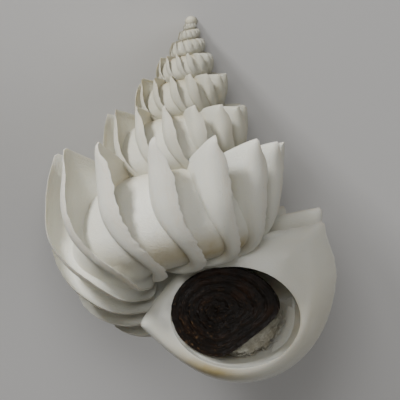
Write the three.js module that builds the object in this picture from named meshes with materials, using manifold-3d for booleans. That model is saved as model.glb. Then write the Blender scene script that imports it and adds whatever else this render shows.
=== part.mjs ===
// Wentletrap shell lying on its back with the aperture up: one grown shell, its operculum,
// and a pad of fibre behind the operculum.
// Millimetres, +Z up. The origin is under the middle of the shell; the apex points along +Y.
import * as THREE from "three";
import { mergeVertices } from "three/addons/utils/BufferGeometryUtils.js";
import Module from "manifold-3d";

// ---------------------------------------------------------------- driving dimensions
// Coil: lengths are those of the last whorl at the lip. Older growth is the same shape, smaller.
const lipAxisDistance = 6.78;   // coiling axis to the middle of the aperture
const lipApexDrop = 31.1;       // apex to the middle of the aperture, along the axis
const shrinkPerWhorl = 0.4;     // natural-log shrink over one whorl back from the lip
const shrinkGain = 0.006;       // extra shrink towards the apex
const lipSlant = 0.28;          // aperture plane turned towards its own side
const coilRise = 0.15;          // climb of older growth towards the apex

// Tube: half widths across the axis and half heights above and below.
const tubeHalfWidth = 6.15;
const tubeHalfTop = 6.3;
const tubeHalfBase = 5.5;
const boreHalfWidth = 5.55;
const boreHalfHeight = 4.8;
const boreWhorls = 1.1;         // how far the hollow is carried back from the lip
const rimHalfWidth = 6.4;       // opening at the lip
const rimHalfHeight = 5.2;
const lipLand = 0.5;            // width of the flat front of the lip
const seatDepth = 1.5;          // straight stretch behind the rim

// Ribs: each one is a former lip that flares out of the tube and curls back over it.
const ribStep = 25.4 / 360;     // whorls from one rib to the next
const ribCount = 98;            // ribs from the lip to the first bulb
const bulbRadius = 0.66;
const bulbDrop = 0.88;          // middle of the bulb below the point the coil shrinks to
const ribThinning = 0.16;       // loss of flare per whorl back from the lip
// Rib margin: a round frill about the tube's middle with two points drawn out of it, one over
// the shoulder and one at the inner corner. Degrees run from outward over the shoulder.
const frillRadius = 6.8;
const marginPoints = [
  { at: 54, height: 7.6, before: 30, after: 20 },    // shoulder spine
  { at: 189, height: 3.1, before: 22, after: 26 },   // inner corner
];
// How far a margin lies behind its root, in rib steps, by the same angle.
const marginLag = [
  [0, 0.62], [30, 0.56], [52, 0.36], [75, 0.34], [100, 0.3], [180, 0.3], [230, 0.4],
  [275, 0.5], [320, 0.62],
];
// The same for the lip itself, in millimetres straight back.
const lipCurl = [
  [0, 4.7], [30, 4.3], [52, 2.5], [75, 1.6], [100, 1.0], [140, 0.8], [170, 1.2],
  [200, 1.8], [240, 2.7], [275, 3.1], [320, 4.1],
];
// Height of a young rib's shoulder spine against the full one; others are full.
const spineWear = { 0: 0.72, 2: 0.93, 5: 0.9, 9: 1.03, 12: 0.9, 13: 0.88, 14: 0.85 };
// Rise and lag of a rib's loops from its front root over the margin to its rear root.
const ribProfiles = {
  fine: [[0, 0], [0.62, 0.24], [1, 1], [0.6, 0.72], [0, 0.6]],
  plain: [[0, 0], [0.65, 0.28], [1, 1], [0, 0.75]],
  coarse: [[0, 0], [1, 0.8], [0, 0.95]],
  worn: [[0, 0], [1, 0.5]],
};

// Operculum: a thin saucer just inside the lip, its outer lower side sunk deeper.
const operculumHalfLength = 4.75;
const operculumHalfWidth = 4.15;
const operculumThickness = 0.4;
const operculumDish = 0.35;
const operculumDepth = 1.4;
const operculumShift = [-0.1, 0.4];   // outward and apex-ward of the aperture's middle
const operculumTurn = 0.3;            // long side against the outward direction, radians
const operculumTilt = 0.3;            // how steeply the outer lower side sinks
const tiltTowards = -0.6;             // direction of that sinking side, radians

// Pad of fibre behind the operculum.
const padHalf = [4.0, 3.4, 0.95];
const padShift = [0.4, -0.5];
const padAge = 0.07;
const padBack = 1.0;
const padLean = 0.12;

// Rest pose: turn about the coiling axis, tilt and lean of that axis, then the pitch at which
// the shell settles on its back: on the apex side of the spire and two back ribs.
const restSpin = 14;
const restTilt = 3.7;
const restLean = 3.9;
const restSettle = 31.3;
const restWear = 0.3;           // depth of the small flats worn where it touches the ground

// ---------------------------------------------------------------- growth
const radians = THREE.MathUtils.degToRad;

/** Size of growth `age` whorls back from the lip, against the lip. */
function sizeAt(age) {
  return Math.exp(-(shrinkPerWhorl * age + shrinkGain * age * age));
}

/** Outward, growing and apex-ward directions `age` whorls back from the lip. */
function directionsAt(age) {
  const turn = 2 * Math.PI * age;
  return {
    outward: new THREE.Vector3(Math.cos(turn), Math.sin(turn), 0),
    growing: new THREE.Vector3(Math.sin(turn), -Math.cos(turn), 0),
    apexward: new THREE.Vector3(0, 0, 1),
  };
}

/** Point at `reach` from the tube's middle in direction `angle`, `back` behind its plane. */
function shellPoint(age, angle, reach, back = 0) {
  const size = sizeAt(age);
  const { outward, growing, apexward } = directionsAt(age);
  const across = reach * Math.cos(angle);
  const up = reach * Math.sin(angle) + coilRise * back;
  return new THREE.Vector3()
    .addScaledVector(outward, size * (lipAxisDistance + across))
    .addScaledVector(apexward, size * (up - lipApexDrop))
    .addScaledVector(growing, size * (-lipSlant * across - back));
}

/** Reach of the rib margin from the tube's middle at `angle` radians. */
function marginReach(angle) {
  let reach = frillRadius;
  for (const { at, height, before, after } of marginPoints) {
    const past = THREE.MathUtils.euclideanModulo(THREE.MathUtils.radToDeg(angle) - at + 180, 360) - 180;
    reach += height * Math.exp(-Math.abs(past) / (past < 0 ? before : after));
  }
  return reach;
}

/** Value of a closed table of [degrees, value] at `angle` radians. */
function around(table, angle) {
  const degrees = THREE.MathUtils.euclideanModulo(THREE.MathUtils.radToDeg(angle), 360);
  let i = table.length - 1;
  while (table[i][0] > degrees) i -= 1;
  const [fromDegrees, fromValue] = table[i];
  const [toDegrees, toValue] = i + 1 < table.length ? table[i + 1] : [360, table[0][1]];
  const share = (degrees - fromDegrees) / (toDegrees - fromDegrees);
  return fromValue + share * (toValue - fromValue);
}

/** Polar radius of an ellipse. */
function ellipseReach(angle, halfWidth, halfHeight) {
  return 1 / Math.hypot(Math.cos(angle) / halfWidth, Math.sin(angle) / halfHeight);
}

/** Outside of the tube between the ribs. */
function tubeReach(angle) {
  const halfHeight = Math.sin(angle) > 0 ? tubeHalfTop : tubeHalfBase;
  return ellipseReach(angle, tubeHalfWidth, halfHeight);
}

// ---------------------------------------------------------------- closed bodies
const wasm = await Module();
wasm.setup();

/** Closed solid from points and triangles, turned to face out. */
function solidFrom(points, triangles) {
  let volume = 0;
  for (const [a, b, c] of triangles) {
    volume += points[a].dot(new THREE.Vector3().crossVectors(points[b], points[c]));
  }
  const faces = volume < 0 ? triangles.map(([a, b, c]) => [a, c, b]) : triangles;
  return new wasm.Manifold(new wasm.Mesh({
    numProp: 3,
    vertProperties: new Float32Array(points.flatMap((p) => [p.x, p.y, p.z])),
    triVerts: new Uint32Array(faces.flat()),
  }));
}

/** Triangles of a grid of closed loops, `rows` loops of `count` points. */
function loopTriangles(rows, count, closedRows) {
  const triangles = [];
  const lastRow = closedRows ? rows : rows - 1;
  for (let row = 0; row < lastRow; row += 1) {
    for (let column = 0; column < count; column += 1) {
      const nextRow = (row + 1) % rows;
      const nextColumn = (column + 1) % count;
      const a = row * count + column;
      const b = row * count + nextColumn;
      const c = nextRow * count + nextColumn;
      const d = nextRow * count + column;
      triangles.push([a, b, c], [a, c, d]);
    }
  }
  return triangles;
}

/** Solid swept through closed loops, with a fan over each end. */
function sweep(loops) {
  const count = loops[0].length;
  const points = loops.flat();
  const triangles = loopTriangles(loops.length, count, false);
  const lastStart = (loops.length - 1) * count;
  const middle = (loop) => loop.reduce((sum, p) => sum.add(p), new THREE.Vector3())
    .divideScalar(count);
  points.push(middle(loops[0]), middle(loops.at(-1)));
  for (let i = 0; i < count; i += 1) {
    const next = (i + 1) % count;
    triangles.push([points.length - 2, next, i]);
    triangles.push([points.length - 1, lastStart + i, lastStart + next]);
  }
  return solidFrom(points, triangles);
}

/** Ring-shaped solid from one closed section per angle. */
function ring(sections) {
  const triangles = loopTriangles(sections.length, sections[0].length, true);
  return solidFrom(sections.flat(), triangles);
}

/** `count` angles around the tube. */
function anglesAround(count) {
  return Array.from({ length: count }, (_, i) => (2 * Math.PI * (i + 0.5)) / count);
}

/** Number of points around the tube at an age: fewer on the small old whorls. */
function countAround(age) {
  if (age < 1) return 22;
  if (age < 2) return 14;
  if (age < 3) return 10;
  return age < 4.4 ? 9 : 7;
}

// ---------------------------------------------------------------- shell
/** 1 where ribs stand free, 0 where they are grown onto the older whorls. */
function ribFreedom(angle, age) {
  const degrees = THREE.MathUtils.euclideanModulo(THREE.MathUtils.radToDeg(angle), 360);
  const top = THREE.MathUtils.smoothstep(118 - degrees, 0, 30);
  const base = THREE.MathUtils.smoothstep(degrees, age < 0.9 ? 190 : 265, age < 0.9 ? 235 : 310);
  return Math.max(degrees < 150 ? top : 0, base);
}

/** Loops of rib `index`, counted back from the lip, growing older. */
function ribLoops(index, angles) {
  const age = index * ribStep;
  const profile = ribProfiles[
    age < 0.97 ? "fine" : age < 2 ? "plain" : age < 4.4 ? "coarse" : "worn"
  ];
  const keep = Math.max(0.35, 1 - ribThinning * Math.max(0, age - 0.9));
  const spine = spineWear[index] ?? 1;
  return profile.map(([rise, lag], row) => angles.map((angle) => {
    const root = tubeReach(angle);
    const freedom = ribFreedom(angle, age);
    const shoulder = Math.exp(-(((THREE.MathUtils.radToDeg(angle) - 54) / 20) ** 2));
    const full = Math.max(marginReach(angle), root + 0.25) - root;
    const flare = full * keep * freedom * (1 - (1 - spine) * shoulder);
    const evenLag = (0.6 * row) / profile.length;
    const lean = lag * around(marginLag, angle);
    const step = evenLag + (lean - evenLag) * freedom;
    return shellPoint(age + step * ribStep, angle, root + rise * flare);
  }));
}

/** Stretch of ribbed tube from rib `first` up to the root of rib `last`. */
function ribbedPiece(first, last) {
  const angles = anglesAround(countAround(first * ribStep));
  const loops = [];
  for (let index = first; index < last; index += 1) {
    loops.push(...ribLoops(index, angles));
  }
  loops.push(angles.map((angle) => shellPoint(last * ribStep, angle, tubeReach(angle))));
  return sweep(loops);
}

/** The youngest rib, with the inner corner that crosses the coiling axis. */
function lipCollar() {
  const sections = anglesAround(28).map((angle) => {
    const root = ellipseReach(angle, rimHalfWidth, rimHalfHeight);
    const shoulder = Math.exp(-(((THREE.MathUtils.radToDeg(angle) - 54) / 20) ** 2));
    const flare = (marginReach(angle) - root) * (1 - (1 - spineWear[0]) * shoulder);
    const curl = around(lipCurl, angle);
    const at = (rise, lag) => shellPoint(0, angle, root + rise * flare, lag * curl);
    const inside = (lag) => shellPoint(0, angle, 0.88 * root, lag * curl);
    const land = shellPoint(0, angle, root + lipLand);
    return [
      inside(0), land, at(0.55, 0.16), at(0.84, 0.52), at(1, 1), at(0.6, 0.68), inside(0.42),
    ];
  });
  return ring(sections);
}

/** Rounded first bulb at the apex. */
function apexBulb() {
  const rows = 5;
  const loops = [];
  for (let row = 1; row < rows; row += 1) {
    const polar = (Math.PI * row) / rows;
    loops.push(anglesAround(9).map((turn) => new THREE.Vector3(
      bulbRadius * Math.sin(polar) * Math.cos(turn),
      bulbRadius * Math.sin(polar) * Math.sin(turn),
      bulbRadius * Math.cos(polar) - bulbDrop,
    )));
  }
  return sweep(loops);
}

/** Hollow of the last whorl, opening through the lip. */
function hollow() {
  const angles = anglesAround(22);
  const loop = (age, back, share) => angles.map((angle) => {
    const rim = ellipseReach(angle, rimHalfWidth, rimHalfHeight);
    const bore = ellipseReach(angle, boreHalfWidth, boreHalfHeight);
    return shellPoint(age, angle, bore + share * (rim - bore), back);
  });
  const loops = [loop(0, -1.5, 1.25), loop(0, 0, 1), loop(0.012, 0, 0.85), loop(0.035, 0, 0.6)];
  for (let age = 0.07; age < boreWhorls; age += 0.05) {
    loops.push(loop(age, 0, Math.max(0, 0.35 - 2 * (age - 0.07))));
  }
  // The first stretch runs straight in, which seats the operculum beside the axis.
  const mouth = sweep([loop(0, -1.5, 1.25), loop(0, 0, 1), loop(0, seatDepth, 0.8)]);
  return sweep(loops).add(mouth);
}

/** The whole shell: ribbed tube, lip and bulb joined, then hollowed from the lip. */
function shellSolid() {
  const pieces = [lipCollar(), apexBulb()];
  const halfWhorl = 7;
  for (let first = 0; first < ribCount; first += halfWhorl) {
    pieces.push(ribbedPiece(first, first + halfWhorl));
  }
  const joined = pieces.reduce((whole, piece) => whole.add(piece));
  return joined.subtract(hollow());
}

// ---------------------------------------------------------------- operculum and pad
/** Point in the aperture: `x` outward, `y` apex-ward, `depth` into the shell. */
function aperturePoint(x, y, depth) {
  return shellPoint(0, Math.atan2(y, x), Math.hypot(x, y), depth);
}

/** Thin saucer with a flattened outer lower side. */
function operculumSolid() {
  const count = 32;
  const shares = [0.3, 0.62, 0.85, 1];
  const loopAt = (share, lift) => anglesAround(count).map((angle) => {
    const flat = 1 - 0.15 * Math.exp(-(((THREE.MathUtils.radToDeg(angle) - 318) / 32) ** 2));
    const reach = share * flat * ellipseReach(
      angle - operculumTurn, operculumHalfLength, operculumHalfWidth,
    );
    const sink = operculumTilt * reach * Math.cos(angle - tiltTowards);
    const dish = operculumDish * (1 - share * share);
    return aperturePoint(
      operculumShift[0] + reach * Math.cos(angle),
      operculumShift[1] + reach * Math.sin(angle),
      operculumDepth + dish + sink + lift,
    );
  });
  const front = shares.map((share) => loopAt(share, 0));
  const rear = [...shares].reverse().map((share) => loopAt(share, operculumThickness));
  return sweep([...front, ...rear]);
}

/** Low lumpy cushion lying across the tube. */
function padSolid() {
  const rows = 8;
  const loops = [];
  for (let row = 1; row < rows; row += 1) {
    const polar = (Math.PI * row) / rows;
    loops.push(anglesAround(18).map((turn) => {
      const lump = 1 - 0.05 * (1 + Math.sin(3 * turn + 2 * polar));
      const x = padShift[0] + padHalf[0] * Math.sin(polar) * Math.cos(turn) * lump;
      const y = padShift[1] + padHalf[1] * Math.sin(polar) * Math.sin(turn) * lump;
      const back = padBack - padLean * x - padHalf[2] * Math.cos(polar);
      return shellPoint(padAge, Math.atan2(y, x), Math.hypot(x, y), back);
    }));
  }
  return sweep(loops);
}

// ---------------------------------------------------------------- assembly
/** Turn from the coiling frame (axis up) to the shell lying on its back, aperture up. */
function restTurn() {
  const turn = new THREE.Matrix4().makeRotationX(radians(-restSettle));
  turn.multiply(new THREE.Matrix4().makeRotationZ(radians(-restLean)));
  turn.multiply(new THREE.Matrix4().makeRotationX(radians(-90 - restTilt)));
  turn.multiply(new THREE.Matrix4().makeRotationZ(radians(-restSpin)));
  return turn;
}

/** Geometry of a solid. */
function geometryOf(solid) {
  const mesh = solid.getMesh();
  const geometry = new THREE.BufferGeometry();
  geometry.setAttribute("position", new THREE.BufferAttribute(mesh.vertProperties.slice(), 3));
  geometry.setIndex(new THREE.BufferAttribute(mesh.triVerts.slice(), 1));
  return geometry;
}

/** Solid of a closed geometry, its shared vertices merged. */
function solidOf(geometry) {
  const bare = geometry.clone();
  bare.deleteAttribute("normal");
  bare.deleteAttribute("uv");
  const merged = mergeVertices(bare, 1e-4);
  return new wasm.Manifold(new wasm.Mesh({
    numProp: 3,
    vertProperties: merged.attributes.position.array,
    triVerts: new Uint32Array(merged.index.array),
  }));
}

/** Settles geometries on the ground, under their middle, with the contact flats cut. */
function settle(geometries) {
  const bounds = new THREE.Box3();
  for (const geometry of geometries) {
    geometry.applyMatrix4(restTurn());
    geometry.computeBoundingBox();
    bounds.union(geometry.boundingBox);
  }
  const middle = bounds.getCenter(new THREE.Vector3());
  for (const geometry of geometries) {
    geometry.translate(-middle.x, -middle.y, -bounds.min.z - restWear);
  }
}

/** `geometry` cut flat at the ground. */
function cutAtGround(geometry) {
  const depth = 10;
  const ground = new THREE.BoxGeometry(200, 200, depth).translate(0, 0, -depth / 2);
  return geometryOf(solidOf(geometry).subtract(solidOf(ground)));
}

/** Named mesh with its own plain material. */
function named(name, geometry, color, roughness) {
  geometry.computeVertexNormals();
  const material = new THREE.MeshStandardMaterial({ color, roughness, metalness: 0 });
  const part = new THREE.Mesh(geometry, material);
  part.name = name;
  return part;
}

const shell = geometryOf(shellSolid());
const operculum = geometryOf(operculumSolid());
const fibrePad = geometryOf(padSolid());
settle([shell, operculum, fibrePad]);

const wentletrap = new THREE.Group();
wentletrap.name = "wentletrap_shell";
wentletrap.add(
  named("shell", cutAtGround(shell), 0xcfcdc2, 0.45),
  named("operculum", operculum, 0x20130c, 0.5),
  named("fibre_pad", fibrePad, 0xc9c4b4, 0.95),
);

export default wentletrap;
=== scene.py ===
import logging
import math
from dataclasses import dataclass
from enum import Enum
from typing import Optional, Sequence, Union

import bpy
from mathutils import Matrix, Vector


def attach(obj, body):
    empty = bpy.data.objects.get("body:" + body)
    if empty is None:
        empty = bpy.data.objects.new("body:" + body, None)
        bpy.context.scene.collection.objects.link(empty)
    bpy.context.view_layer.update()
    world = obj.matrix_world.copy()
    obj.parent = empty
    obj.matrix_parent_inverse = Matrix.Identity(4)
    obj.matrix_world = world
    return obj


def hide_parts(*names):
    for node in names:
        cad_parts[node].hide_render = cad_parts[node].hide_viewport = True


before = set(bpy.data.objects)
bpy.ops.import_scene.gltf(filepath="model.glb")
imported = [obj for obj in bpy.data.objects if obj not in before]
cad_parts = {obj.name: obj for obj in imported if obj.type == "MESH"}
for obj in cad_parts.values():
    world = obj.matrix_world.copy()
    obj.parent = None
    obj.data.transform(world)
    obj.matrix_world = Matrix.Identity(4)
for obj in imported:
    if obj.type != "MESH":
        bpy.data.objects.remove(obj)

LOG = logging.getLogger("wentletrap")
MM = 0.001

Points = Sequence[tuple[float, float]]
Feeds = dict[Union[str, int], object]


# ------------------------------------------------------------------ node writing
class Field:
    """A value in a node tree that can be used in ordinary arithmetic."""

    def __init__(self, writer: "TreeWriter", socket: bpy.types.NodeSocket) -> None:
        """Keeps the tree's writer and the socket that gives the value."""
        self.writer = writer
        self.socket = socket

    def _math(self, operation: str, *others: "Value") -> "Field":
        """Result of a Math node on this value and others."""
        return self.writer.math(operation, self, *others)

    def __add__(self, other: "Value") -> "Field":
        """Sum."""
        return self._math("ADD", other)

    def __radd__(self, other: "Value") -> "Field":
        """Sum, the other way round."""
        return self._math("ADD", other)

    def __sub__(self, other: "Value") -> "Field":
        """Difference."""
        return self._math("SUBTRACT", other)

    def __rsub__(self, other: "Value") -> "Field":
        """Difference, the other way round."""
        return self.writer.math("SUBTRACT", other, self)

    def __mul__(self, other: "Value") -> "Field":
        """Product."""
        return self._math("MULTIPLY", other)

    def __rmul__(self, other: "Value") -> "Field":
        """Product, the other way round."""
        return self._math("MULTIPLY", other)

    def __truediv__(self, other: "Value") -> "Field":
        """Quotient."""
        return self._math("DIVIDE", other)

    def __rtruediv__(self, other: "Value") -> "Field":
        """Quotient, the other way round."""
        return self.writer.math("DIVIDE", other, self)

    def sin(self) -> "Field":
        """Sine of an angle in radians."""
        return self._math("SINE")

    def cos(self) -> "Field":
        """Cosine of an angle in radians."""
        return self._math("COSINE")

    def exp(self) -> "Field":
        """Natural exponential."""
        return self._math("EXPONENT")

    def floor(self) -> "Field":
        """Largest whole number below."""
        return self._math("FLOOR")

    def round(self) -> "Field":
        """Nearest whole number."""
        return self._math("ROUND")

    def sqrt(self) -> "Field":
        """Square root."""
        return self._math("SQRT")

    def power(self, exponent: float) -> "Field":
        """This value raised to a power."""
        return self._math("POWER", exponent)

    def at_least(self, low: "Value") -> "Field":
        """The larger of this value and low."""
        return self._math("MAXIMUM", low)

    def at_most(self, high: "Value") -> "Field":
        """The smaller of this value and high."""
        return self._math("MINIMUM", high)

    def over(self, limit: "Value") -> "Field":
        """1 where this value is above limit, else 0."""
        return self._math("GREATER_THAN", limit)

    def under(self, limit: "Value") -> "Field":
        """1 where this value is below limit, else 0."""
        return self._math("LESS_THAN", limit)

    def step(self, low: "Value", high: "Value") -> "Field":
        """Smooth rise from 0 at low to 1 at high."""
        return self.writer.smoothstep(self, low, high)

    def bell(self, middle: float, width: float) -> "Field":
        """1 at the middle, falling off smoothly over the width."""
        off = (self - middle) / width
        return (off * off * -1.0).exp()

    def lobe(self, middle: float, width: float) -> "Field":
        """1 at a middle in degrees, falling off over the width, closed over 360 degrees."""
        sharp = 2.0 / math.radians(width) ** 2
        off = (self - middle) * (math.pi / 180.0)
        return ((off.cos() - 1.0) * sharp).exp()

    def point(self, middle: float, before: float, after: float) -> "Field":
        """1 at a middle in degrees, falling off from a sharp point on its two sides."""
        past = self._math("WRAP", middle + 180.0, middle - 180.0) - middle
        spread = past.over(0.0) * (after - before) + before
        return ((past * past).sqrt() / spread * -1.0).exp()

    def mix(self, other: "Value", share: "Value") -> "Field":
        """This value at share 0, the other at share 1."""
        return self + (self.writer.lift(other) - self) * share


Value = Union[Field, float]


class TreeWriter:
    """Writes a node tree as arithmetic on fields."""

    def __init__(self, tree: bpy.types.NodeTree) -> None:
        """Starts on an empty tree.

        Args:
            tree: The node tree that receives the nodes.
        """
        self.tree = tree

    def node(self, kind: str, feeds: Optional[Feeds] = None, **settings: object) -> bpy.types.Node:
        """New node of a kind, with its properties and inputs set.

        Args:
            kind: The node's type name.
            feeds: Inputs by name or number, each a field, a socket or a plain value.
            settings: Property values.

        Returns:
            The node.
        """
        made = self.tree.nodes.new(kind)
        for name, value in settings.items():
            setattr(made, name, value)
        for key, value in (feeds or {}).items():
            self.feed(made.inputs[key], value)
        return made

    def feed(self, socket: bpy.types.NodeSocket, value: object) -> None:
        """Links a field to a socket, or sets the socket's own value.

        Args:
            socket: The input to feed.
            value: A field, a socket or a plain value.
        """
        if isinstance(value, Field):
            self.tree.links.new(value.socket, socket)
        elif isinstance(value, bpy.types.NodeSocket):
            self.tree.links.new(value, socket)
        else:
            socket.default_value = value

    def math(self, operation: str, *values: Value) -> Field:
        """Math node.

        Args:
            operation: The node's operation.
            values: Its inputs in order.

        Returns:
            The result.
        """
        made = self.node("ShaderNodeMath", dict(enumerate(values)), operation=operation)
        return Field(self, made.outputs[0])

    def lift(self, value: Value) -> Field:
        """The value as a field."""
        return value if isinstance(value, Field) else self.math("ADD", value, 0.0)

    def smoothstep(self, value: Field, low: Value, high: Value) -> Field:
        """Smooth rise from 0 at low to 1 at high.

        Args:
            value: What is measured.
            low: Where the rise starts.
            high: Where it ends.

        Returns:
            A field between 0 and 1.
        """
        made = self.node("ShaderNodeMapRange",
                         {"Value": value, "From Min": low, "From Max": high},
                         interpolation_type="SMOOTHSTEP")
        return Field(self, made.outputs["Result"])

    def curve(self, value: Field, points: Points, angular: bool = False) -> Field:
        """Drawn curve through points.

        Args:
            value: Where it is read: degrees when angular, else from 0 to 1.
            points: Pairs of place and height.
            angular: Whether the curve closes on itself over 360 degrees.

        Returns:
            The curve's height.
        """
        tallest = max(abs(height) for _, height in points)
        drawn = [(place, height / tallest) for place, height in points]
        if angular:
            drawn = [(place / 360.0, height) for place, height in drawn]
            drawn.append((1.0, drawn[0][1]))
            value = value / 360.0
        made = self.node("ShaderNodeFloatCurve")
        line = made.mapping.curves[0]
        made.mapping.use_clip = False
        line.points[0].location = drawn[0]
        line.points[1].location = drawn[-1]
        for place, height in drawn[1:-1]:
            line.points.new(place, height)
        for point in line.points:
            point.handle_type = "AUTO_CLAMPED"
        made.mapping.update()
        self.feed(made.inputs["Value"], value)
        return Field(self, made.outputs[0]) * tallest

    def vector(self, x: Value, y: Value, z: Value) -> Field:
        """Vector of three values."""
        made = self.node("ShaderNodeCombineXYZ", {"X": x, "Y": y, "Z": z})
        return Field(self, made.outputs[0])

    def noise(self, place: Field, scale: float, detail: float = 2.0,
              roughness: float = 0.5) -> Field:
        """Noise from 0 to 1.

        Args:
            place: Vector where it is read.
            scale: Fineness.
            detail: Octaves.
            roughness: Strength of the fine octaves.

        Returns:
            The noise value.
        """
        made = self.node("ShaderNodeTexNoise", {
            "Vector": place, "Scale": scale, "Detail": detail, "Roughness": roughness})
        return Field(self, made.outputs[0])


class ShapeTree(TreeWriter):
    """A Geometry Nodes tree with named inputs."""

    def __init__(self, name: str, sizes: dict[str, float], counts: dict[str, int]) -> None:
        """Opens the tree and its inputs.

        Args:
            name: Name of the tree.
            sizes: Named lengths, angles and shares with their values.
            counts: Named whole numbers with their values.
        """
        super().__init__(bpy.data.node_groups.new(name, "GeometryNodeTree"))
        face = self.tree.interface
        self.values: dict[str, object] = {}
        for key, value in sizes.items():
            face.new_socket(key, in_out="INPUT", socket_type="NodeSocketFloat")
            self.values[key] = float(value)
        for key, count in counts.items():
            face.new_socket(key, in_out="INPUT", socket_type="NodeSocketInt")
            self.values[key] = int(count)
        face.new_socket("Material", in_out="INPUT", socket_type="NodeSocketMaterial")
        face.new_socket("Geometry", in_out="OUTPUT", socket_type="NodeSocketGeometry")
        self.inlet = self.node("NodeGroupInput")
        self.outlet = self.node("NodeGroupOutput")

    def size(self, name: str) -> Field:
        """A named input as a field."""
        return Field(self, self.inlet.outputs[name])

    def random(self, key: Optional[Field], low: float, high: float, seed: int) -> Field:
        """Random value that stays the same for one key.

        Args:
            key: Whole number that picks the value, or None for the point's own.
            low: Smallest value.
            high: Largest value.
            seed: Fixed seed.

        Returns:
            The random field.
        """
        feeds: Feeds = {2: low, 3: high, "Seed": seed}
        if key is not None:
            feeds["ID"] = key
        made = self.node("FunctionNodeRandomValue", feeds, data_type="FLOAT")
        return Field(self, made.outputs[1])

    def sheet(self, rows: Value, columns: Value) -> tuple[bpy.types.NodeSocket, Field, Field]:
        """Flat grid to be bent into shape.

        Args:
            rows: Points along.
            columns: Points across.

        Returns:
            The grid, and how far along and across each point is, from 0 to 1.
        """
        grid = self.node("GeometryNodeMeshGrid", {
            "Size X": 1.0, "Size Y": 1.0, "Vertices X": rows, "Vertices Y": columns})
        place = self.node("GeometryNodeInputPosition")
        split = self.node("ShaderNodeSeparateXYZ", {0: place.outputs[0]})
        along = Field(self, split.outputs[0]) + 0.5
        across = Field(self, split.outputs[1]) + 0.5
        return grid.outputs["Mesh"], along, across

    def keep(self, mesh: bpy.types.NodeSocket, **marks: Value) -> bpy.types.NodeSocket:
        """Stores values on the points, for the finish to read.

        Args:
            mesh: The geometry.
            marks: What is stored, by the name of the attribute.

        Returns:
            The geometry with the attributes.
        """
        for name, value in marks.items():
            made = self.node("GeometryNodeStoreNamedAttribute",
                             {"Geometry": mesh, "Name": name, "Value": self.lift(value)},
                             data_type="FLOAT", domain="POINT")
            mesh = made.outputs["Geometry"]
        return mesh

    def bend(self, mesh: bpy.types.NodeSocket, place: Field) -> bpy.types.NodeSocket:
        """Moves every point of a mesh to its place."""
        made = self.node("GeometryNodeSetPosition", {"Geometry": mesh, "Position": place})
        return made.outputs["Geometry"]

    def join(self, *parts: bpy.types.NodeSocket) -> bpy.types.NodeSocket:
        """Several geometries as one."""
        both = self.node("GeometryNodeJoinGeometry")
        for part in parts:
            self.tree.links.new(part, both.inputs[0])
        return both.outputs[0]

    def close(self, mesh: bpy.types.NodeSocket, gap: float) -> bpy.types.NodeSocket:
        """Joins the seam and the poles.

        Args:
            mesh: The bent geometry.
            gap: Points nearer than this become one.

        Returns:
            The closed geometry.
        """
        merge = self.node("GeometryNodeMergeByDistance", {"Geometry": mesh, "Distance": gap})
        return merge.outputs["Geometry"]

    def finish(self, mesh: bpy.types.NodeSocket) -> None:
        """Ends the tree in Realize Instances and Set Material."""
        real = self.node("GeometryNodeRealizeInstances", {"Geometry": mesh})
        dress = self.node("GeometryNodeSetMaterial", {
            "Geometry": real.outputs["Geometry"], "Material": self.inlet.outputs["Material"]})
        self.feed(self.outlet.inputs["Geometry"], dress.outputs["Geometry"])

    def grow(self, name: str, finish: bpy.types.Material,
             changes: Optional[dict[str, float]] = None) -> bpy.types.Object:
        """Runs the tree and keeps the result as a plain mesh.

        Args:
            name: Name of the new object.
            finish: Its material.
            changes: Inputs that differ from the tree's own values.

        Returns:
            An object with a plain mesh and no modifier.
        """
        seed = bpy.data.objects.new(name + "_seed", bpy.data.meshes.new(name + "_seed"))
        bpy.context.scene.collection.objects.link(seed)
        modifier = seed.modifiers.new("shape", "NODES")
        modifier.node_group = self.tree
        values = {**self.values, **(changes or {}), "Material": finish}
        for item in self.tree.interface.items_tree:
            if item.in_out == "INPUT" and item.name in values:
                modifier[item.identifier] = values[item.name]
        seed.update_tag()
        graph = bpy.context.evaluated_depsgraph_get()
        mesh = bpy.data.meshes.new_from_object(
            seed.evaluated_get(graph), preserve_all_data_layers=True, depsgraph=graph)
        mesh.name = name
        seed.modifiers.remove(modifier)
        bpy.data.objects.remove(seed)
        mesh.materials.clear()
        mesh.materials.append(finish)
        made = bpy.data.objects.new(name, mesh)
        bpy.context.scene.collection.objects.link(made)
        return made


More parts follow.
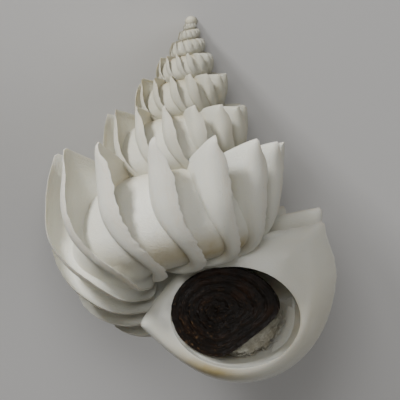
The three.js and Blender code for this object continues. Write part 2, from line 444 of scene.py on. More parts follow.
# ------------------------------------------------------------------ coil
@dataclass(frozen=True)
class Coil:
    """Growth of the shell. Lengths are those of the last whorl at the lip, in metres."""

    axis_distance: float = 6.78 * MM
    apex_drop: float = 31.1 * MM
    shrink: float = 0.4
    shrink_gain: float = 0.006
    slant: float = 0.28
    rise: float = 0.15
    rib_step: float = 25.4 / 360.0
    spin: float = 14.0
    tilt: float = 3.7
    lean: float = 3.9
    settle: float = 31.3
    apex_place: tuple[float, float, float] = (-0.273 * MM, 17.343 * MM, -0.674 * MM)

    def sizes(self) -> dict[str, float]:
        """The coil's named sizes, as tree inputs."""
        return {
            "Axis distance": self.axis_distance,
            "Apex drop": self.apex_drop,
            "Shrink per whorl": self.shrink,
            "Shrink gain": self.shrink_gain,
            "Lip slant": self.slant,
            "Coil rise": self.rise,
            "Rib step": self.rib_step,
        }

    def place(self, tree: ShapeTree, age: Value, across: Field, up: Field,
              back: Value) -> Field:
        """Point of the coil.

        Args:
            tree: The tree that is written.
            age: Whorls back from the lip.
            across: Distance outward from the tube's middle.
            up: Distance towards the apex from the tube's middle.
            back: Distance behind the growth plane.

        Returns:
            The position, with the coiling axis upright and the apex at the origin.
        """
        age = tree.lift(age)
        shrink = age * tree.size("Shrink per whorl") + age * age * tree.size("Shrink gain")
        size = (shrink * -1.0).exp()
        turn = age * (2.0 * math.pi)
        radial = (across + tree.size("Axis distance")) * size
        growth = (across * tree.size("Lip slant") + back) * size * -1.0
        lifted = up + tree.lift(back) * tree.size("Coil rise")
        height = (lifted - tree.size("Apex drop")) * size
        return tree.vector(
            radial * turn.cos() + growth * turn.sin(),
            radial * turn.sin() - growth * turn.cos(),
            height,
        )

    def rest(self) -> Matrix:
        """Turn and shift from the upright coil to the shell lying on its back."""
        return (
            Matrix.Translation(Vector(self.apex_place))
            @ Matrix.Rotation(math.radians(-self.settle), 4, "X")
            @ Matrix.Rotation(math.radians(-self.lean), 4, "Z")
            @ Matrix.Rotation(math.radians(-90.0 - self.tilt), 4, "X")
            @ Matrix.Rotation(math.radians(-self.spin), 4, "Z")
        )


def oval(tree: ShapeTree, angle: Field, width: Value, height: Value) -> Field:
    """Polar radius of an oval.

    Args:
        tree: The tree that is written.
        angle: Direction in radians.
        width: Half width.
        height: Half height.

    Returns:
        Distance from the middle to the oval.
    """
    x = angle.cos() / width
    y = angle.sin() / height
    return 1.0 / (x * x + y * y).sqrt()


# ------------------------------------------------------------------ finishes
class FinishTree(TreeWriter):
    """The node tree of one material."""

    def __init__(self, name: str) -> None:
        """Opens a new material of a name."""
        self.material = bpy.data.materials.new(name)
        self.material.use_nodes = True
        super().__init__(self.material.node_tree)
        self.shader = self.tree.nodes["Principled BSDF"]
        coordinates = self.node("ShaderNodeTexCoord")
        self.place = Field(self, coordinates.outputs["Object"])

    def kept(self, name: str) -> Field:
        """A stored field of the piece."""
        made = self.node("ShaderNodeAttribute", attribute_name=name)
        return Field(self, made.outputs["Fac"])

    def tint(self, share: Value, first: Value, second: Sequence[float]) -> Field:
        """Colour between two by a share.

        Args:
            share: 0 for the first, 1 for the second.
            first: A colour or a colour field.
            second: A colour.

        Returns:
            The mixed colour.
        """
        made = self.node("ShaderNodeMix", {0: share, 6: first, 7: second}, data_type="RGBA")
        return Field(self, made.outputs[2])

    def relief(self, height: Field, distance: float, strength: float = 1.0) -> None:
        """Fine relief from a height field.

        Args:
            height: Height from 0 to 1.
            distance: Real height in metres.
            strength: Share of it that shows.
        """
        made = self.node("ShaderNodeBump", {
            "Strength": strength, "Distance": distance, "Height": height})
        self.feed(self.shader.inputs["Normal"], Field(self, made.outputs[0]))


@dataclass(frozen=True)
class ShellFinish:
    """White limy shell: dull ribs, a glossy lip, and ochre staining in the hollows, with painted
    shade added in one deep pocket by the lip.
    """

    white: tuple = (0.655, 0.645, 0.570, 1.0)
    lip: tuple = (0.650, 0.640, 0.565, 1.0)
    old: tuple = (0.480, 0.460, 0.370, 1.0)
    ochre: tuple = (0.36, 0.27, 0.09, 1.0)
    grey: tuple = (0.42, 0.40, 0.34, 1.0)
    edge: tuple = (0.62, 0.50, 0.38, 1.0)
    roughness: float = 0.42

    def build(self) -> bpy.types.Material:
        """Makes the material."""
        tree = FinishTree("limy_shell")
        rise, ring, gloss = tree.kept("rise"), tree.kept("ring"), tree.kept("lip")
        stain, east, north = tree.kept("stain"), tree.kept("east"), tree.kept("north")
        cloud = tree.noise(tree.place, 260.0, 3.0, 0.55)
        along = tree.vector(ring * 9.0, east * 1.4, north * 1.4)
        lines = tree.noise(along, 14.0, 3.0, 0.6)
        grain = tree.noise(tree.place, 4200.0, 2.0, 0.6)
        colour = tree.tint(cloud.step(0.35, 0.75) * 0.35, self.white, self.grey_light())
        colour = tree.tint(ring.step(12.0, 34.0), colour, self.old)
        colour = tree.tint(gloss, colour, self.lip)
        # Ochre where the stored mark is: the shell's own staining, and in the pocket by rib 10
        # painted shade as well.
        deep = stain * (cloud * 1.8).at_most(1.0)
        colour = tree.tint(deep.at_most(0.85), colour, self.ochre)
        rim = rise.step(0.93, 1.0) * lines.step(0.35, 0.6) * 0.3
        colour = tree.tint(rim, colour, self.edge)
        specks = tree.noise(tree.place, 3200.0, 1.0, 0.5).step(0.75, 0.77)
        colour = tree.tint(specks * 0.35, colour, self.grey)
        tree.feed(tree.shader.inputs["Base Color"], colour)
        dull = lines * 0.12 + grain * 0.10 + self.roughness - gloss * 0.30
        tree.feed(tree.shader.inputs["Roughness"], dull)
        for name, value in (("Subsurface Weight", 0.25), ("Subsurface Radius", (1.0, 0.75, 0.5)),
                            ("Subsurface Scale", 0.0007), ("Specular IOR Level", 0.5)):
            tree.shader.inputs[name].default_value = value
        height = lines * (1.0 - gloss * 0.7) * 0.8 + cloud * 0.5 + grain * 0.08
        tree.relief(height, 0.00012, 0.55)
        return tree.material

    def grey_light(self) -> tuple:
        """A slightly greyer white, for the clouds."""
        return tuple(0.9 * part for part in self.white[:3]) + (1.0,)


@dataclass(frozen=True)
class HornFinish:
    """Dark horny operculum with growth lines, and a painted highlight on its scales that is
    warmest at the lower left.
    """

    dark: tuple = (0.006, 0.0035, 0.002, 1.0)
    brown: tuple = (0.024, 0.010, 0.004, 1.0)
    # Warm colour of the painted highlight on the scales.
    scale: tuple = (0.26, 0.15, 0.07, 1.0)

    def build(self) -> bpy.types.Material:
        """Makes the material."""
        tree = FinishTree("horny_operculum")
        ring, flake = tree.kept("ring"), tree.kept("flake")
        blotch = tree.noise(tree.place, 420.0, 4.0, 0.6)
        fine = tree.noise(tree.place, 2600.0, 3.0, 0.65)
        colour = tree.tint(blotch.step(0.42, 0.72), self.dark, self.brown)
        # Painted highlight: the raised scales turn warm and light where the stored mask is, mostly
        # on the lower-left side and in the middle.
        colour = tree.tint(flake * fine.step(0.5, 0.68) * 0.8, colour, self.scale)
        colour = tree.tint((1.0 - ring).step(0.55, 1.0) * 0.7, colour, self.dark)
        tree.feed(tree.shader.inputs["Base Color"], colour)
        tree.feed(tree.shader.inputs["Roughness"], fine * 0.35 + 0.26)
        tree.shader.inputs["Specular IOR Level"].default_value = 0.22
        tree.relief(fine * 0.7 + blotch * 0.5, 0.00012, 0.8)
        return tree.material


@dataclass(frozen=True)
class FibreFinish:
    """Loose off-white fibre."""

    pale: tuple = (0.66, 0.65, 0.58, 1.0)
    shade: tuple = (0.36, 0.33, 0.26, 1.0)

    def build(self) -> bpy.types.Material:
        """Makes the material."""
        tree = FinishTree("loose_fibre")
        cloud = tree.noise(tree.place, 900.0, 3.0, 0.6)
        tree.feed(tree.shader.inputs["Base Color"],
                  tree.tint(cloud.step(0.35, 0.7), self.shade, self.pale))
        tree.shader.inputs["Roughness"].default_value = 0.9
        tree.relief(tree.noise(tree.place, 3800.0, 2.0, 0.6), 0.00008, 0.8)
        return tree.material


@dataclass(frozen=True)
class FloorFinish:
    """Plain pale floor."""

    colour: tuple = (0.68, 0.67, 0.66, 1.0)

    def build(self) -> bpy.types.Material:
        """Makes the material."""
        tree = FinishTree("plain_floor")
        tree.shader.inputs["Base Color"].default_value = self.colour
        tree.shader.inputs["Roughness"].default_value = 0.8
        return tree.material


# ------------------------------------------------------------------ shell
class Region(Enum):
    """Stretch of the coil: first and last rib, rings for each rib, points around."""

    LAST = (1.0, 14.0, 15, 184)
    SECOND = (14.0, 28.0, 12, 120)
    THIRD = (28.0, 42.0, 10, 84)
    FOURTH = (42.0, 56.0, 8, 60)
    FIFTH = (56.0, 70.0, 7, 44)
    OLDEST = (70.0, 98.0, 5, 32)


@dataclass
class Shell:
    """The grown shell: ribbed whorls, the lip with its bore, and the first bulb."""

    coil: Coil
    tube_width: float = 6.15 * MM
    tube_top: float = 8.5 * MM
    tube_base: float = 5.5 * MM
    rim_width: float = 6.4 * MM
    rim_height: float = 5.2 * MM
    bore_width: float = 5.6 * MM
    bore_height: float = 4.85 * MM
    bore_whorls: float = 0.9
    young_whorls: float = 0.9
    thinning: float = 0.16
    least_flare: float = 0.35
    jag: float = 0.35 * MM
    bulb_radius: float = 0.66 * MM
    bulb_drop: float = 0.88 * MM
    seat_depth: float = 1.8 * MM
    seat_share: float = 0.3
    seat_at: float = 206.0
    seat_spread: float = 26.0
    seat_swell: float = 0.15
    bore_rows: int = 30
    lip_rows: int = 32
    seam_gap: float = 0.0003 * MM
    frill: float = 6.8 * MM
    shoulder_at: float = 54.0
    spine_height: float = 7.6 * MM
    spine_before: float = 30.0
    spine_after: float = 20.0
    rib_spine_after: float = 28.0
    corner_at: float = 189.0
    corner_height: float = 3.1 * MM
    corner_spread: float = 24.0
    heel_at: float = 222.0
    heel_height: float = 1.1 * MM
    heel_spread: float = 14.0
    lag: Points = ((0, 0.42), (30, 0.45), (45, 0.36), (54, 0.16), (64, 0.14), (100, 0.2),
                   (180, 0.3), (230, 0.38), (275, 0.42), (320, 0.4))
    curl: Points = ((0, 4.7), (30, 4.3), (52, 2.5), (75, 1.6), (100, 1.0), (140, 0.8),
                    (170, 1.2), (200, 1.8), (240, 2.7), (275, 3.1), (320, 4.1))
    rise_line: Points = ((0.0, 0.0), (0.06, 0.3), (0.13, 0.62), (0.22, 0.84), (0.31, 0.95),
                         (0.39, 1.0), (0.45, 1.0), (0.49, 0.95), (0.56, 0.86), (0.63, 0.68),
                         (0.69, 0.4), (0.74, 0.12), (0.78, 0.0), (1.0, 0.0))
    lag_line: Points = ((0.0, 0.0), (0.06, 0.0), (0.13, 0.06), (0.22, 0.25), (0.31, 0.55),
                        (0.39, 0.85), (0.45, 1.0), (0.49, 0.97), (0.56, 0.6), (0.63, 0.28),
                        (0.69, 0.14), (0.74, 0.1), (0.78, 0.14), (1.0, 0.14))
    lip_rise: Points = ((0.0, 0.0), (0.06, 0.2), (0.16, 0.52), (0.3, 0.84), (0.42, 0.97),
                        (0.48, 1.0), (0.54, 0.955), (0.62, 0.76), (0.7, 0.47), (0.78, 0.16),
                        (0.84, 0.0), (1.0, 0.0))
    lip_lag: Points = ((0.0, 0.0), (0.06, 0.03), (0.16, 0.14), (0.3, 0.5), (0.42, 0.86),
                       (0.48, 1.0), (0.54, 0.98), (0.62, 0.72), (0.7, 0.5), (0.78, 0.42),
                       (0.84, 0.44), (1.0, 0.44))
    sheet_end: float = 0.78
    margin_phase: float = 0.46
    lip_end: float = 0.84
    # Growth was uneven: the ribs of the last whorl crowd towards the lip by parts of a rib.
    crowding: float = 0.38
    crowding_ends: tuple[float, float] = (8.5, 11.0)
    late_rib: float = 11.8
    late_share: float = 0.18
    # Each rib slants: its base was built when the shoulder was already older.
    slant_share: float = 1.65
    slant_at: float = 287.0
    slant_spread: float = 72.0
    least_spine: float = 0.82
    lip_corner: float = 0.8
    spine_share: float = 1.07
    short_rib: float = 3.5
    short_share: float = 0.25
    tall_rib: float = 11.0
    tall_share: float = 0.1
    broad_rib: float = 7.2
    broad_share: float = 0.5
    fan_rib: float = 5.0
    fan_share: float = 0.9

    def _tube(self, tree: ShapeTree, angle: Field, degrees: Field, count: Field) -> Field:
        """Radius of the plain tube.

        Args:
            tree: The tree that is written.
            angle: Direction in radians.
            degrees: The same in degrees.
            count: Ribs back from the lip.

        Returns:
            The radius, swollen near the lip round the seat of the operculum.
        """
        top = angle.sin().over(0.0)
        height = tree.size("Tube base").mix(tree.size("Tube top"), top)
        near = 1.0 - count.step(1.0, 4.0)
        swell = degrees.lobe(self.seat_at, self.seat_spread) * near * self.seat_swell
        return oval(tree, angle, tree.size("Tube width"), height) * (1.0 + swell)

    def _tree(self, name: str, sizes: dict[str, float], counts: dict[str, int]) -> ShapeTree:
        """Opens a tree with the shell's named sizes and some more."""
        common = {
            **self.coil.sizes(),
            "Tube width": self.tube_width,
            "Tube top": self.tube_top,
            "Tube base": self.tube_base,
            "Rim width": self.rim_width,
            "Rim height": self.rim_height,
            "Bore width": self.bore_width,
            "Bore height": self.bore_height,
            "Bore whorls": self.bore_whorls,
            "Thinning": self.thinning,
            "Jag": self.jag,
            "Lip corner": self.lip_corner,
        }
        return ShapeTree(name, {**common, **sizes}, counts)

    def _age(self, tree: ShapeTree, count: Field) -> Field:
        """Whorls back from the lip at a count of ribs."""
        crowded = count.step(0.0, 1.0) * (1.0 - count.step(*self.crowding_ends))
        late = count.bell(self.late_rib, 1.2) * self.late_share
        return (count - crowded * self.crowding + late) * tree.size("Rib step")

    def _margin(self, degrees: Field, spine_after: float, corner: float) -> Field:
        """Reach of a rib's margin from the tube's middle.

        Args:
            degrees: Direction, from outward over the shoulder.
            spine_after: How far the spine spreads towards the older whorls.
            corner: Share of the inner corner that is drawn out.

        Returns:
            The round frill with the shoulder spine, and the inner corner or the heel below it.
        """
        spine = degrees.point(self.shoulder_at, self.spine_before, spine_after)
        inner = degrees.point(self.corner_at, self.corner_spread, self.corner_spread)
        heel = degrees.lobe(self.heel_at, self.heel_spread) * (1.0 - corner)
        return (spine * self.spine_height + inner * (self.corner_height * corner)
                + heel * self.heel_height + self.frill)

    def _ribs(self, tree: ShapeTree, capped: bool) -> bpy.types.NodeSocket:
        """Ribbed tube between the tree's first and last rib.

        Args:
            tree: The tree that is written.
            capped: Whether the young end is closed; the old end always is.

        Returns:
            The geometry.
        """
        lead = 1.0 if capped else 0.0
        rings = tree.size("Rings per rib")
        first, last = tree.size("First rib"), tree.size("Last rib")
        loops = ((last - first) * rings).round() + 1.0
        mesh, along, across = tree.sheet(loops + (1.0 + lead), tree.size("Points around") + 1.0)
        row = (along * (loops + lead)).round() - lead
        body = row.over(-0.5) * row.under(loops - 0.5)
        count = first + row.at_least(0.0).at_most(loops - 1.0) / rings
        rib = (count + 0.001).floor()
        phase = (count - rib).at_least(0.0)
        angle = across * (2.0 * math.pi)
        degrees = across * 360.0
        age = self._age(tree, rib)
        width = self._age(tree, rib + 1.0) - age
        young = age.under(self.young_whorls)
        # Ribs stand free outside, and are grown on where older and younger whorls cover them.
        top = (132.0 - degrees).step(0.0, 30.0) * degrees.under(150.0)
        low = tree.lift(265.0).mix(212.0, young)
        high = tree.lift(310.0).mix(242.0, young)
        free = top.at_least(degrees.step(low, high))
        root = self._tube(tree, angle, degrees, count)
        older = (age - self.young_whorls).at_least(0.0)
        keep = (1.0 - tree.size("Thinning") * older).at_least(self.least_flare)
        reach = self._margin(degrees, self.rib_spine_after, 0.0)
        full = (reach - root).at_least(0.00025)
        wander = tree.noise(tree.vector(angle.cos() * 1.3 + rib * 5.1, angle.sin() * 1.3, rib),
                            1.0, 2.0)
        chance = tree.random(rib, self.least_spine, 1.0, 11)
        uneven = (self.spine_share - rib.bell(self.short_rib, 1.6) * self.short_share
                  + rib.bell(self.tall_rib, 1.5) * self.tall_share)
        spine = uneven.mix(chance, rib.over(14.5))
        shoulder = degrees.lobe(self.shoulder_at, 20.0)
        flare = full * keep * free * (1.0 - (1.0 - spine) * shoulder)
        side = degrees.lobe(8.0, 32.0)
        broad = side * rib.bell(self.broad_rib, 1.8) * self.broad_share
        fan = degrees.lobe(270.0, 48.0) * rib.bell(self.fan_rib, 2.2) * self.fan_share
        flare = flare * (0.9 + wander * 0.2) * (1.0 + broad + fan)
        lean = tree.curve(degrees, self.lag, True) * tree.random(rib, 0.85, 1.1, 23)
        rise = tree.curve(phase, self.rise_line)
        tail = phase.step(self.sheet_end, 1.0)
        chips = tree.noise(tree.vector(angle.cos() * 4.0, angle.sin() * 4.0, rib * 9.1),
                           2.2, 3.0, 0.65)
        torn = (chips - 0.5) * phase.bell(self.margin_phase, 0.1) * 0.45 + 1.0
        loose = tree.curve(phase, self.lag_line) * lean * torn
        loose = loose + (1.0 - loose) * tail
        slope = degrees.lobe(self.slant_at, self.slant_spread) * self.slant_share
        slope = slope * count.step(1.0, 5.0) * body
        step = phase.mix(loose, free)
        margin = phase.bell(self.margin_phase, 0.09)
        ragged = (chips - 0.5) * tree.size("Jag") * margin * free
        reach = (root + rise * flare + ragged) * body
        spot = self.coil.place(tree, age + step * width + slope * tree.size("Rib step"),
                               reach * angle.cos(), reach * angle.sin(), 0.0)
        # Ochre staining at the suture is the shell's own; the spot in the pocket by rib 10 is
        # staining together with painted shade.
        suture = degrees.lobe(105.0, 30.0) * 0.8
        pocket = degrees.lobe(318.0, 24.0) * rib.bell(10.3, 2.0) * 0.9
        mesh = tree.keep(mesh, rise=rise * free, ring=count, east=angle.cos(), north=angle.sin(),
                         stain=(1.0 - rise) * suture.at_least(pocket), lip=0.0)
        return tree.bend(mesh, spot)

    def _lip(self, tree: ShapeTree) -> bpy.types.NodeSocket:
        """Bore, rim and lip, from deep inside to the foot of the first rib.

        Args:
            tree: The tree that is written.

        Returns:
            The geometry.
        """
        rows = self.bore_rows + self.lip_rows + 1
        mesh, along, across = tree.sheet(tree.lift(rows + 1.0),
                                         tree.size("Points around") + 1.0)
        row = (along * float(rows)).round()
        body = row.over(0.5)
        angle = across * (2.0 * math.pi)
        degrees = across * 360.0
        inside = 1.0 - ((row - 1.0) / self.bore_rows).at_most(1.0)
        phase = ((row - (1.0 + self.bore_rows)) / self.lip_rows).at_least(0.0)
        outer = phase.over(0.0)
        rim = oval(tree, angle, tree.size("Rim width"), tree.size("Rim height"))
        bore = oval(tree, angle, tree.size("Bore width"), tree.size("Bore height"))
        root = self._tube(tree, angle, degrees, tree.lift(1.0))
        # The bore runs straight back for the seat of the operculum, then round the coil.
        deep = ((inside - self.seat_share) / (1.0 - self.seat_share)).at_least(0.0)
        depth = deep * deep * tree.size("Bore whorls")
        seat = (inside / self.seat_share).at_most(1.0) * self.seat_depth * (depth * -2.0).exp()
        pillar = degrees.lobe(190.0, 32.0) * (depth * -3.0).exp()
        hollow = bore.mix(rim, (depth * -14.0).exp().at_least(pillar))
        shoulder = degrees.lobe(self.shoulder_at, 20.0)
        full = self._margin(degrees, self.spine_after, 1.0) - rim
        flare = full * (1.0 - (1.0 - tree.size("Lip corner")) * shoulder)
        chips = tree.noise(tree.vector(angle.cos() * 4.0, angle.sin() * 4.0, 3.3),
                           2.4, 3.0, 0.65)
        rise = tree.curve(phase, self.lip_rise)
        margin = rise.step(0.8, 1.0)
        ragged = (chips - 0.5) * tree.size("Jag") * margin * degrees.lobe(75.0, 45.0) * 3.0
        tail = phase.step(self.lip_end, 1.0)
        back = tree.curve(phase, self.lip_lag) * tree.curve(degrees, self.curl, True) * MM
        back = (back * (1.0 - tail)).mix(seat, 1.0 - outer)
        foot = rim.mix(root, phase.step(0.5, self.lip_end))
        outside = foot + rise * flare + ragged
        reach = hollow.mix(outside, outer) * body
        age = depth + tail * self._age(tree, tree.lift(1.0))
        spot = self.coil.place(tree, age, reach * angle.cos(), reach * angle.sin(), back)
        lower = degrees.lobe(248.0, 30.0) * phase.bell(0.14, 0.16) * outer
        right = degrees.lobe(356.0, 36.0)
        wall = right * inside.bell(0.1, 0.14) * (1.0 - outer * 0.6)
        mesh = tree.keep(mesh, rise=rise * outer * degrees.lobe(60.0, 60.0), ring=phase,
                         east=angle.cos(), north=angle.sin(), stain=lower + wall,
                         lip=1.0 - phase.step(0.4, 0.6))
        return tree.bend(mesh, spot)

    def _bulb(self, finish: bpy.types.Material) -> bpy.types.Object:
        """The smooth first bulb at the apex."""
        tree = ShapeTree("first_bulb", {"Radius": self.bulb_radius, "Drop": self.bulb_drop}, {})
        mesh, along, across = tree.sheet(tree.lift(17.0), tree.lift(33.0))
        polar, turn = along * math.pi, across * (2.0 * math.pi)
        radius = tree.size("Radius")
        spot = tree.vector(radius * polar.sin() * turn.cos(), radius * polar.sin() * turn.sin(),
                           radius * polar.cos() - tree.size("Drop"))
        mesh = tree.keep(mesh, rise=0.0, ring=99.0, stain=0.15, lip=0.2,
                         east=turn.cos(), north=turn.sin())
        tree.finish(tree.close(tree.bend(mesh, spot), self.seam_gap))
        return tree.grow("first_bulb", finish)

    def build(self) -> bpy.types.Object:
        """Grows every stretch and joins them into one shell."""
        finish = ShellFinish().build()
        parts = [self._bulb(finish)]
        spans = {"First rib": 0.0, "Last rib": 14.0}
        counts = {"Rings per rib": 12, "Points around": 96}
        mouth = self._tree("mouth_and_last_whorl", spans, counts)
        mouth.finish(mouth.close(mouth.join(self._lip(mouth), self._ribs(mouth, False)),
                                 self.seam_gap))
        spire = self._tree("spire_whorls", spans, counts)
        spire.finish(spire.close(self._ribs(spire, True), self.seam_gap))
        for region in Region:
            first, last, rings, around = region.value
            tree = mouth if region is Region.LAST else spire
            parts.append(tree.grow(region.name.lower(), finish, {
                "First rib": first, "Last rib": last,
                "Rings per rib": rings, "Points around": around,
            }))
        shell = joined(parts, "shell_surface")
        shell.data.transform(self.coil.rest())
        wear_flat(shell)
        smooth(shell, 50.0)
        return shell


def joined(parts: list[bpy.types.Object], name: str) -> bpy.types.Object:
    """Joins objects into one.

    Args:
        parts: The objects.
        name: Name of the result.

    Returns:
        The joined object.
    """
    bpy.ops.object.select_all(action="DESELECT")
    for part in parts:
        part.select_set(True)
    bpy.context.view_layer.objects.active = parts[0]
    bpy.ops.object.join()
    parts[0].name = name
    parts[0].data.name = name
    return parts[0]


def wear_flat(piece: bpy.types.Object) -> None:
    """Levels the points that would pass below the floor."""
    low = [point for point in piece.data.vertices if point.co.z < 0.0]
    depth = min((point.co.z for point in low), default=0.0)
    LOG.info("%d points worn level, deepest %.2f mm", len(low), -depth / MM)
    for point in low:
        point.co.z = 0.0


def smooth(piece: bpy.types.Object, degrees: float) -> None:
    """Smooth shading, with edges sharper than an angle kept.

    Args:
        piece: The object.
        degrees: Angle from which an edge stays sharp.
    """
    piece.data.shade_smooth()
    piece.data.set_sharp_from_angle(angle=math.radians(degrees))


# ------------------------------------------------------------------ operculum and fibre
@dataclass
class Operculum:
    """Thin horny disc, dished, with growth lines that wind out from its first corner."""

    coil: Coil
    half_length: float = 5.1 * MM
    half_width: float = 4.75 * MM
    # The side that faces the base and the outer lip is cut straight, with round corners.
    flat_at: float = 314.0
    flat_distance: float = 3.5 * MM
    flat_sharpness: float = 9.0
    middle: tuple[float, float] = (-1.2 * MM, 0.3 * MM)
    first_corner: tuple[float, float] = (-1.15 * MM, 0.15 * MM)
    thickness: float = 0.35 * MM
    depth: float = 1.15 * MM
    dish: float = 0.35 * MM
    tilt: float = 0.3
    tilt_towards: float = -0.6
    turns: float = 5.0
    rings: int = 150
    points_around: int = 180
    front_share: float = 0.8
    seam_gap: float = 0.0002 * MM

    def build(self) -> bpy.types.Object:
        """Makes the disc."""
        tree = ShapeTree("wound_disc", {
            **self.coil.sizes(), "Thickness": self.thickness,
            "Depth": self.depth, "Dish": self.dish, "Turns": self.turns,
        }, {"Rings": self.rings, "Points around": self.points_around})
        mesh, along, across = tree.sheet(tree.size("Rings"), tree.size("Points around") + 1.0)
        front = along.under(self.front_share)
        fall = ((along - (self.front_share + 0.01)) / (0.99 - self.front_share)).at_least(0.0)
        share = (along / self.front_share).at_most(1.0) - fall
        angle = across * (2.0 * math.pi)
        degrees = across * 360.0
        chips = tree.noise(tree.vector(angle.cos() * 2.0, angle.sin() * 2.0, 0.0), 3.0, 4.0, 0.6)
        whole = self.flat_distance / oval(tree, angle, self.half_length, self.half_width)
        facing = (angle - math.radians(self.flat_at)).cos().at_least(0.0)
        powers = whole.power(self.flat_sharpness) + facing.power(self.flat_sharpness)
        reach = self.flat_distance / powers.power(1.0 / self.flat_sharpness)
        reach = reach * (0.975 + chips * 0.05)
        inner = 1.0 - share
        out = reach * angle.cos() * share + inner * self.first_corner[0]
        lift = reach * angle.sin() * share + inner * self.first_corner[1]
        ripple = tree.noise(tree.vector(out / MM, lift / MM, 0.0), 0.9, 4.0, 0.65)
        wind = (share + (ripple - 0.5) * 0.16).at_least(0.0) * tree.size("Turns") - across
        ridge = ((wind * (2.0 * math.pi)).sin() * 0.5 + 0.5) * share.step(0.02, 0.15)
        lean = out * math.cos(self.tilt_towards) + lift * math.sin(self.tilt_towards)
        dish = tree.size("Dish") * (1.0 - share * share)
        scales = tree.noise(tree.vector(share * 22.0, angle.cos() * 3.0, angle.sin() * 3.0),
                            1.3, 4.0, 0.7)
        depth = tree.size("Depth") + dish + lean * self.tilt
        depth = depth + tree.size("Thickness") * (1.0 - front)
        relief = ridge * 0.16 + scales * 0.34 * share.step(0.0, 0.08)
        depth = depth - relief * MM * front
        spot = self.coil.place(tree, 0.0, out + self.middle[0], lift + self.middle[1], depth)
        # Mask of a painted highlight on the scales: strongest on the lower-left side, half
        # strength in the middle, and only where the scales stand up.
        worn = degrees.lobe(215.0, 55.0) * share.step(0.2, 0.6) + (1.0 - share) * 0.5
        mesh = tree.keep(mesh, ring=ridge, flake=worn.at_most(1.0) * scales.step(0.45, 0.7))
        tree.finish(tree.close(tree.bend(mesh, spot), self.seam_gap))
        disc = tree.grow("operculum_disc", HornFinish().build())
        disc.data.transform(self.coil.rest())
        smooth(disc, 60.0)
        return disc


@dataclass
class FibrePad:
    """Slack pad of loose fibre behind the operculum, with stray strands."""

    coil: Coil
    half_across: float = 4.1 * MM
    half_up: float = 3.6 * MM
    half_deep: float = 0.95 * MM
    shift_out: float = 0.9 * MM
    shift_up: float = -0.9 * MM
    age: float = 0.07
    depth: float = 0.85 * MM
    lean: float = 0.12
    strands: int = 1700
    strand_length: float = 0.9 * MM
    strand_radius: float = 0.028 * MM
    strand_tip: float = 0.45
    wad_area: float = 130.0 * MM * MM
    seam_gap: float = 0.0003 * MM

    def build(self) -> bpy.types.Object:
        """Makes the cushion and its strands."""
        tree = ShapeTree("fibre_cushion", {
            **self.coil.sizes(), "Half across": self.half_across, "Half up": self.half_up,
            "Half deep": self.half_deep, "Strand length": self.strand_length,
            "Strand radius": self.strand_radius,
        }, {"Strands": self.strands})
        mesh, along, across = tree.sheet(tree.lift(41.0), tree.lift(81.0))
        polar, turn = along * math.pi, across * (2.0 * math.pi)
        lump = tree.noise(tree.vector(polar.sin() * turn.cos() * 2.0, turn.sin() * 2.0,
                                      polar.cos()), 2.6, 3.0, 0.6)
        swell = 0.74 + lump * 0.5
        out = polar.sin() * turn.cos() * tree.size("Half across") * swell + self.shift_out
        up = polar.sin() * turn.sin() * tree.size("Half up") * swell + self.shift_up
        back = polar.cos() * tree.size("Half deep") * swell * -1.0 - out * self.lean + self.depth
        mesh = tree.bend(mesh, self.coil.place(tree, self.age, out, up, back))
        scatter = tree.node("GeometryNodeDistributePointsOnFaces", {
            "Mesh": mesh, "Density": self.strands / self.wad_area, "Seed": 7},
            distribute_method="RANDOM")
        arc = tree.node("GeometryNodeCurveArc", {
            "Resolution": 6, "Sweep Angle": 1.6, "Radius": tree.size("Strand length")})
        profile = tree.node("GeometryNodeCurvePrimitiveCircle", {
            "Resolution": 3, "Radius": tree.size("Strand radius")})
        tube = tree.node("GeometryNodeCurveToMesh", {
            "Curve": arc.outputs[0], "Profile Curve": profile.outputs[0], "Fill Caps": True})
        turns = tree.node("FunctionNodeRandomValue", {
            0: (-self.strand_tip, -self.strand_tip, 0.0),
            1: (self.strand_tip, self.strand_tip, 6.28), "Seed": 5}, data_type="FLOAT_VECTOR")
        euler = tree.node("FunctionNodeEulerToRotation", {0: turns.outputs[0]})
        spin = tree.node("FunctionNodeRotateRotation", {
            0: scatter.outputs["Rotation"], 1: euler.outputs[0]}, rotation_space="LOCAL")
        place = tree.node("GeometryNodeInstanceOnPoints", {
            "Points": scatter.outputs["Points"], "Instance": tube.outputs["Mesh"],
            "Rotation": spin.outputs[0], "Scale": tree.random(None, 0.3, 1.0, 9)})
        wad = tree.close(mesh, self.seam_gap)
        tree.finish(tree.join(place.outputs["Instances"], wad))
        pad = tree.grow("loose_fibre_pad", FibreFinish().build())
        pad.data.transform(self.coil.rest())
        smooth(pad, 60.0)
        return pad


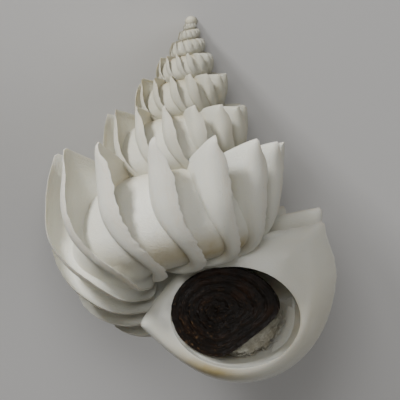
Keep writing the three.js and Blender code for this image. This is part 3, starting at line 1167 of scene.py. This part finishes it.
# ------------------------------------------------------------------ surroundings
@dataclass
class Studio:
    """Camera, lights and floor."""

    coil: Coil
    view_width: float = 41.08 * MM
    view_distance: float = 0.7
    middle_right: float = 0.82 * MM
    middle_down: float = 19.3 * MM
    lens: float = 100.0

    def _axes(self) -> tuple[Vector, Vector, Vector]:
        """Right, up and towards the viewer."""
        settle = Matrix.Rotation(math.radians(-self.coil.settle), 3, "X")
        return settle @ Vector((1, 0, 0)), settle @ Vector((0, 1, 0)), settle @ Vector((0, 0, 1))

    def _middle(self) -> Vector:
        """Point that the camera looks at."""
        right, up, _ = self._axes()
        return Vector(self.coil.apex_place) + right * self.middle_right - up * self.middle_down

    def camera(self) -> None:
        """Camera square to the aperture, the spire up."""
        right, up, near = self._axes()
        data = bpy.data.cameras.new("camera")
        data.lens = self.lens
        data.sensor_width = self.lens * self.view_width / self.view_distance
        data.clip_start, data.clip_end = 0.01, 20.0
        viewer = bpy.data.objects.new("camera", data)
        spot = self._middle() + near * self.view_distance
        turn = Matrix((right, up, near)).transposed().to_4x4()
        viewer.matrix_world = Matrix.Translation(spot) @ turn
        bpy.context.scene.collection.objects.link(viewer)
        bpy.context.scene.camera = viewer

    def lamp(self, name: str, towards: tuple[float, float, float], size: float,
             power: float, colour: tuple[float, float, float] = (1.0, 1.0, 1.0)) -> None:
        """Square soft light aimed at the shell.

        Args:
            name: Name of the light.
            towards: Where it stands from the shell: right, up and near, in metres.
            size: Side of the light in metres.
            power: Watts.
            colour: Its colour.
        """
        right, up, near = self._axes()
        data = bpy.data.lights.new(name, "AREA")
        data.size = size
        data.energy = power
        data.color = colour
        light = bpy.data.objects.new(name, data)
        offset = right * towards[0] + up * towards[1] + near * towards[2]
        light.location = self._middle() + offset
        light.rotation_euler = offset.to_track_quat("Z", "Y").to_euler()
        bpy.context.scene.collection.objects.link(light)

    def build(self) -> None:
        """Sets up the surroundings."""
        self.camera()
        self.lamp("key_light", (-0.23, 0.24, 0.20), 0.07, 1.9)
        self.lamp("fill_light", (0.30, -0.10, 0.25), 0.30, 0.25)
        self.lamp("top_light", (-0.05, 0.15, 0.5), 0.2, 0.9)
        world = bpy.data.worlds.new("studio")
        world.use_nodes = True
        world.node_tree.nodes["Background"].inputs[0].default_value = (1.0, 0.985, 0.95, 1.0)
        world.node_tree.nodes["Background"].inputs[1].default_value = 0.14
        bpy.context.scene.world = world
        mesh = bpy.data.meshes.new("floor")
        side = 1.5
        mesh.from_pydata([(-side, -side, 0), (side, -side, 0), (side, side, 0),
                          (-side, side, 0)], [], [(0, 1, 2, 3)])
        floor = bpy.data.objects.new("floor", mesh)
        mesh.materials.append(FloorFinish().build())
        bpy.context.scene.collection.objects.link(floor)


def main() -> None:
    logging.basicConfig(level=logging.INFO, format="%(message)s")
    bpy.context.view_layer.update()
    coil = Coil()
    Studio(coil).build()
    pieces = (
        (Shell(coil), "shell", "shell"),
        (Operculum(coil), "operculum", "operculum"),
        (FibrePad(coil), "fibre_pad", "fibre"),
    )
    for maker, node, slot in pieces:
        piece = maker.build()
        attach(piece, "root")
        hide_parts(node)
        LOG.info("%s stands for %s: %d faces", piece.name, node, len(piece.data.polygons))


if __name__ == "__main__":
    main()
